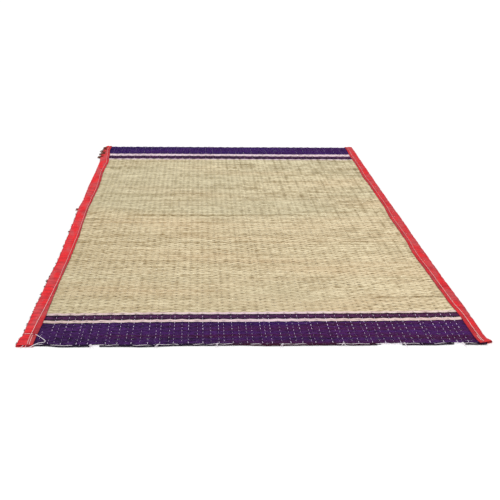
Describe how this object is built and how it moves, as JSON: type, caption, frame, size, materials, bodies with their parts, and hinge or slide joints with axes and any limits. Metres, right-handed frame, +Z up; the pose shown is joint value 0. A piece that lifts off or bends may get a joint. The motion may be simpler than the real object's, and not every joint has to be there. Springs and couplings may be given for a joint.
{
  "type": "korai grass mat",
  "caption": "Flat woven korai sedge mat with purple-dyed end bands and red cotton tape bound along both long sides.",
  "frame": {"origin": "centre of the mat's outline at the level of the floor that it lies on", "axes": "+X across the mat to the right as seen from its front end, +Y along its length towards the back end, +Z up"},
  "size_m": [0.92, 1.8337, 0.0052],
  "materials": {
    "korai_grass": "matt straw",
    "red_cotton_tape": "matt cotton",
    "white_thread": "matt cotton"
  },
  "bodies": {
    "root": {"grass_mat": "korai_grass", "binding_left": "red_cotton_tape", "binding_right": "red_cotton_tape", "loose_thread": "white_thread"}
  },
  "joints": []
}
